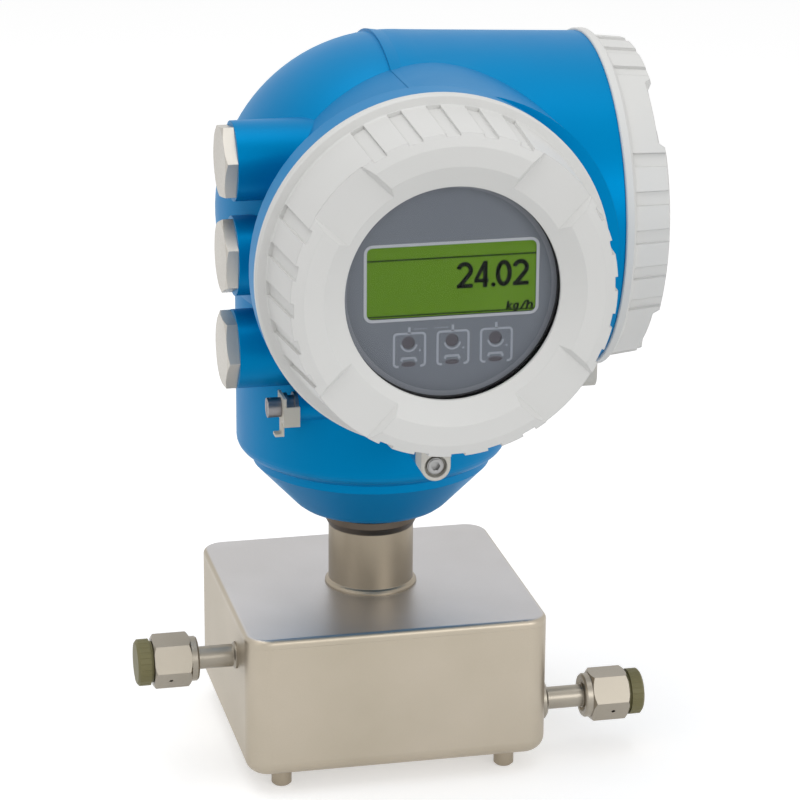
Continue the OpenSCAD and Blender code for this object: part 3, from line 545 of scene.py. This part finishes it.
# millimetres from the middle of a key window
KEY_LEFT, KEY_RIGHT, KEY_TOP, KEY_FOOT = -6.1, 7.0, 3.9, -10.2
KEY_CORNER = 1.4
KEY_GAP = 2.0
KEY_LINE = 0.95
KEY_BAR = [(-3.0, -7.9), (-2.5, -6.7), (2.7, -6.7), (3.4, -8.2)]
LENS_RADIUS = 2.65

# dashes between the first two keys, with two left out for the small word
DASH_COUNT, DASH_LEFT_OUT = 12, (5, 6)
DASH_PITCH, DASH_LENGTH, DASH_WIDTH, DASH_RISE = 1.22, 0.7, 0.4, 5.7
DASH_START = 2.4

# rim of the disc, and the dark gap outside it
RIM_INNER, RIM_OUTER = 3.1 * MM, 0.95 * MM
RIM_RISE, RIM_DEPTH = 0.05 * MM, 0.1 * MM


def lcd_signs(front):
    """Reading, unit and header line on the field, a painted shadow along its foot, and the frame
    printed round it.
    """
    lcd = centre("lcd_panel")
    low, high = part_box("lcd_panel")
    half_w = (high[0] - low[0]) / 2 / MM - LCD_LIP
    half_h = (high[2] - low[2]) / 2 / MM - LCD_LIP
    face = low[1] - 0.03 * MM
    base = lcd[2] - READING_DROP * MM
    for name, shape, x in READING:
        flat_mesh(name, placed(shape(), lcd[0] + x * MM, base), face, INK, DISPLAY)
    unit = placed(unit_text(), lcd[0] + UNIT_RIGHT * MM, lcd[2] - UNIT_DROP * MM)
    flat_mesh("reading_unit", unit, face, INK, DISPLAY)
    line = band([(-half_w + 0.2, 0), (half_w - 0.2, 0)], 0.8)
    line = placed(line, lcd[0], lcd[2] + HEADER_RISE * MM)
    flat_mesh("header_line", line, face, INK_LINE_AND_SHADE, DISPLAY)
    # painted shadow: a dark band along the foot of the field
    foot = band([(-half_w + 1.0, 0), (half_w - 1.0, 0)], 0.7)
    foot = placed(foot, lcd[0], lcd[2] - half_h * MM + 1.1 * MM)
    flat_mesh("lcd_foot_shade", foot, face, INK_LINE_AND_SHADE, DISPLAY)
    outline = rounded(-half_w - 0.35, half_w - 0.35, -half_h - 0.5, half_h - 0.45, FRAME_RADIUS)
    outline = placed(band(outline, FRAME_WIDTH, True), lcd[0], lcd[2])
    flat_mesh("lcd_frame", outline, front, FRAME_PRINT, DISPLAY)


def key_outline():
    """Frame of a key, open below between its two feet."""
    r = KEY_CORNER
    left, right = KEY_LEFT + r, KEY_RIGHT - r
    top, foot = KEY_TOP - r, KEY_FOOT + r
    return ([(KEY_LEFT + KEY_GAP, KEY_FOOT)] + arc(left, foot, r, r, 260, 180, 5)
            + arc(left, top, r, r, 180, 90, 5) + arc(right, top, r, r, 90, 0, 5)
            + arc(right, foot, r, r, 0, -80, 5) + [(KEY_RIGHT - KEY_GAP, KEY_FOOT)])


def key_signs(front):
    """Printed signs of the three keys, and the dashes that tie the first two."""
    keys = centre("key_windows")
    width = (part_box("key_windows")[1][0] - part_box("key_windows")[0][0]) / MM
    pitch = width / 2 - LENS_RADIUS
    signs = (
        ("key_frame_", band(key_outline(), KEY_LINE), PRINT),
        ("key_tick_", band([(0.3, KEY_TOP), (0.3, KEY_TOP + 2.7)], 1.1), PRINT),
        ("key_arc_", band(arc(0.2, -0.3, 3.3, 3.4, 190, 350), 0.8), PRINT_FAINT),
        ("key_bar_", band(KEY_BAR, 1.0), PRINT_FAINT),
        ("key_shade_", [arc(0.1, -9.3, 2.9, 1.1, 0, 345, 23)], LENS),
        ("key_dot_", [arc(4.8, -3.5, 0.45, 0.45, 0, 330, 11)], PRINT_FAINT),
    )
    for index in (-1, 0, 1):
        for name, shape, material in signs:
            shape = placed(shape, keys[0] + index * pitch * MM, keys[2])
            flat_mesh(name + str(index + 2), shape, front, material, DISPLAY)
    dashes = []
    for k in range(DASH_COUNT):
        if k not in DASH_LEFT_OUT:
            x = -pitch + DASH_START + k * DASH_PITCH
            dashes += band([(x, DASH_RISE), (x + DASH_LENGTH, DASH_RISE)], DASH_WIDTH)
    dashes = placed(dashes, keys[0], keys[2])
    flat_mesh("key_link_dashes", dashes, front, PRINT_FAINT, DISPLAY)


def disc_rim(front):
    """Rim of the disc painted lighter grey as a painted highlight, and the dark gap between it
    and the holder.
    """
    disc = centre("display_bezel")
    radius = (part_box("display_bezel")[1][0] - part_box("display_bezel")[0][0]) / 2
    inner, outer = radius - RIM_INNER, radius - RIM_OUTER
    for name, rim, material in (("bezel_rim", flat_ring(disc, inner, outer), RIM),
                                ("bezel_gap", flat_ring(disc, outer, radius), DARK)):
        flat_mesh(name, rim, front - RIM_RISE, material, DISPLAY, RIM_DEPTH)


def display_details():
    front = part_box("display_bezel")[0][1] - 0.05 * MM
    lcd_signs(front)
    key_signs(front)
    disc_rim(front)


display_details()

# ------------------------------------------------------------------- stage

FLOOR_HALF = 12.0
FLOOR_DROP = 0.0002
FLOOR_GREY = (0.80, 0.80, 0.80, 1)
FLOOR_GLOW = 0.45
WORLD_LIGHT = 0.55
WORLD_SEEN = 1.0
TARGET = (0.02, 0, 0.2)


def seen_rays(tree):
    """1 for rays of the camera, off a gloss or through glass, 0 for the rays that light."""
    path = tree.nodes.new("ShaderNodeLightPath")
    shown = path.outputs["Is Camera Ray"]
    for ray in ("Is Glossy Ray", "Is Transmission Ray"):
        either = tree.nodes.new("ShaderNodeMath")
        either.operation = "MAXIMUM"
        tree.links.new(shown, either.inputs[0])
        tree.links.new(path.outputs[ray], either.inputs[1])
        shown = either.outputs[0]
    return shown


def make_stage():
    """Pale floor that keeps its shadow and glows only for the rays that see it."""
    mat = bpy.data.materials.new("stage_white")
    mat.use_nodes = True
    tree = mat.node_tree
    tree.nodes.clear()
    out = tree.nodes.new("ShaderNodeOutputMaterial")
    add = tree.nodes.new("ShaderNodeAddShader")
    diffuse = tree.nodes.new("ShaderNodeBsdfDiffuse")
    diffuse.inputs["Color"].default_value = FLOOR_GREY
    emit = tree.nodes.new("ShaderNodeEmission")
    emit.inputs["Color"].default_value = WHITE
    gain = tree.nodes.new("ShaderNodeMath")
    gain.operation = "MULTIPLY"
    gain.inputs[1].default_value = FLOOR_GLOW
    tree.links.new(seen_rays(tree), gain.inputs[0])
    tree.links.new(gain.outputs[0], emit.inputs["Strength"])
    tree.links.new(diffuse.outputs[0], add.inputs[0])
    tree.links.new(emit.outputs[0], add.inputs[1])
    tree.links.new(add.outputs[0], out.inputs["Surface"])
    mesh = bpy.data.meshes.new("floor")
    half = FLOOR_HALF
    z = CAD_BOX[0][2] - FLOOR_DROP
    corners = [(-half, -half, z), (half, -half, z), (half, half, z), (-half, half, z)]
    mesh.from_pydata(corners, [], [(0, 1, 2, 3)])
    floor = bpy.data.objects.new("floor", mesh)
    mesh.materials.append(mat)
    bpy.context.scene.collection.objects.link(floor)


def background(tree, strength):
    node = tree.nodes.new("ShaderNodeBackground")
    node.inputs["Color"].default_value = WHITE
    node.inputs["Strength"].default_value = strength
    return node


def make_world():
    """Studio that is brighter to look at than it is as a light."""
    world = bpy.data.worlds.new("studio")
    bpy.context.scene.world = world
    world.use_nodes = True
    tree = world.node_tree
    tree.nodes.clear()
    out = tree.nodes.new("ShaderNodeOutputWorld")
    mix = tree.nodes.new("ShaderNodeMixShader")
    tree.links.new(seen_rays(tree), mix.inputs["Fac"])
    tree.links.new(background(tree, WORLD_LIGHT).outputs[0], mix.inputs[1])
    tree.links.new(background(tree, WORLD_SEEN).outputs[0], mix.inputs[2])
    tree.links.new(mix.outputs[0], out.inputs["Surface"])


def area(name, at, to, size, watts):
    data = bpy.data.lights.new(name, "AREA")
    data.shape = "RECTANGLE"
    data.size, data.size_y = size
    data.energy = watts
    lamp = bpy.data.objects.new(name, data)
    bpy.context.scene.collection.objects.link(lamp)
    at = Vector(at)
    turn = (at - Vector(to)).to_track_quat("Z", "Y")
    lamp.matrix_world = Matrix.Translation(at) @ turn.to_matrix().to_4x4()


make_stage()
make_world()
area("top_box", (-0.3, -0.2, 1.9), TARGET, (1.6, 1.6), 13)
area("left_box", (-1.7, -1.0, 0.9), TARGET, (1.0, 1.4), 2.4)
area("front_fill", (0.9, -2.0, 0.9), TARGET, (1.4, 1.0), 11)
bpy.context.scene.view_settings.view_transform = "Standard"
